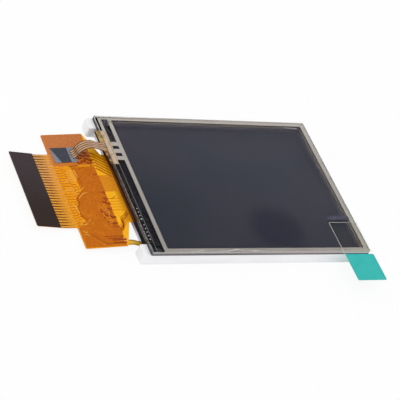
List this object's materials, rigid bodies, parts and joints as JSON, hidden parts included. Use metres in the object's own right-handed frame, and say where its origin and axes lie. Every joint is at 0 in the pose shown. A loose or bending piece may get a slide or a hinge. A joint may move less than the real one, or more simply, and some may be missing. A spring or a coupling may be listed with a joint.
{
  "type": "tft display module",
  "caption": "Flat rectangular colour display module with a backlight frame, a resistive touch panel, an amber flex tail for its signals and a pull tab on its clear protective film.",
  "frame": {"origin": "centre of the frame's back face, in the plane of that face", "axes": "+X along the long side, away from the flex tail; +Y along the short side, away from the pull tab; +Z out of the screen"},
  "size_m": [0.0825, 0.0516, 0.0045],
  "materials": {
    "frame_plastic": "satin white polycarbonate",
    "reflector_film": "silvery white film",
    "guide_acrylic": "polished clear acrylic",
    "optical_film": "frosted clear film",
    "lamp_housing": "white housing with a yellow phosphor face",
    "polyimide": "glossy amber film",
    "black_tape": "black film tape",
    "polariser": "dark film with a low sheen",
    "display_glass": "polished, cut edges",
    "chip_silicon": "polished dark silicon",
    "copper": "copper under clear cover film",
    "gold_contacts": "gold plated",
    "stiffener": "dark brown hard film",
    "capacitor": "brown ceramic with tinned ends",
    "black_foam": "fine black foam",
    "touch_glass": "polished, ground edges",
    "clear_adhesive": "clear adhesive",
    "silver_ink": "matte silver ink",
    "touch_film": "clear hard coated film",
    "touch_tail_film": "brown film",
    "seal_patch": "slate grey film",
    "protective_film": "thin clear film",
    "pull_tape": "clear tape",
    "pull_tab": "teal film"
  },
  "bodies": {
    "root": {"backlight_frame": "frame_plastic", "reflector_sheet": "reflector_film", "light_guide": "guide_acrylic", "diffuser_sheet": "optical_film", "prism_sheet_lower": "optical_film", "prism_sheet_upper": "optical_film", "led_flex": "polyimide", "led_1": "lamp_housing", "led_2": "lamp_housing", "led_3": "lamp_housing", "led_4": "lamp_housing", "shading_tape": "black_tape", "rear_polariser": "polariser", "array_glass": "display_glass", "colour_filter_glass": "display_glass", "front_polariser": "polariser", "driver_chip": "chip_silicon", "main_flex": "polyimide", "flex_copper": "copper", "tail_contacts": "gold_contacts", "tail_stiffener": "stiffener", "chip_capacitor_1": "capacitor", "chip_capacitor_2": "capacitor", "chip_capacitor_3": "capacitor", "chip_capacitor_4": "capacitor", "chip_capacitor_5": "capacitor", "chip_cover_tape": "black_tape", "ledge_foam": "black_foam", "panel_gasket": "black_foam", "touch_glass": "touch_glass", "touch_spacer": "clear_adhesive", "silver_print": "silver_ink", "touch_film": "touch_film", "touch_tail": "touch_tail_film", "touch_tail_conductors": "silver_ink", "touch_tail_patch": "seal_patch", "protective_film": "protective_film", "pull_tape": "pull_tape", "pull_tab": "pull_tab"}
  },
  "joints": []
}
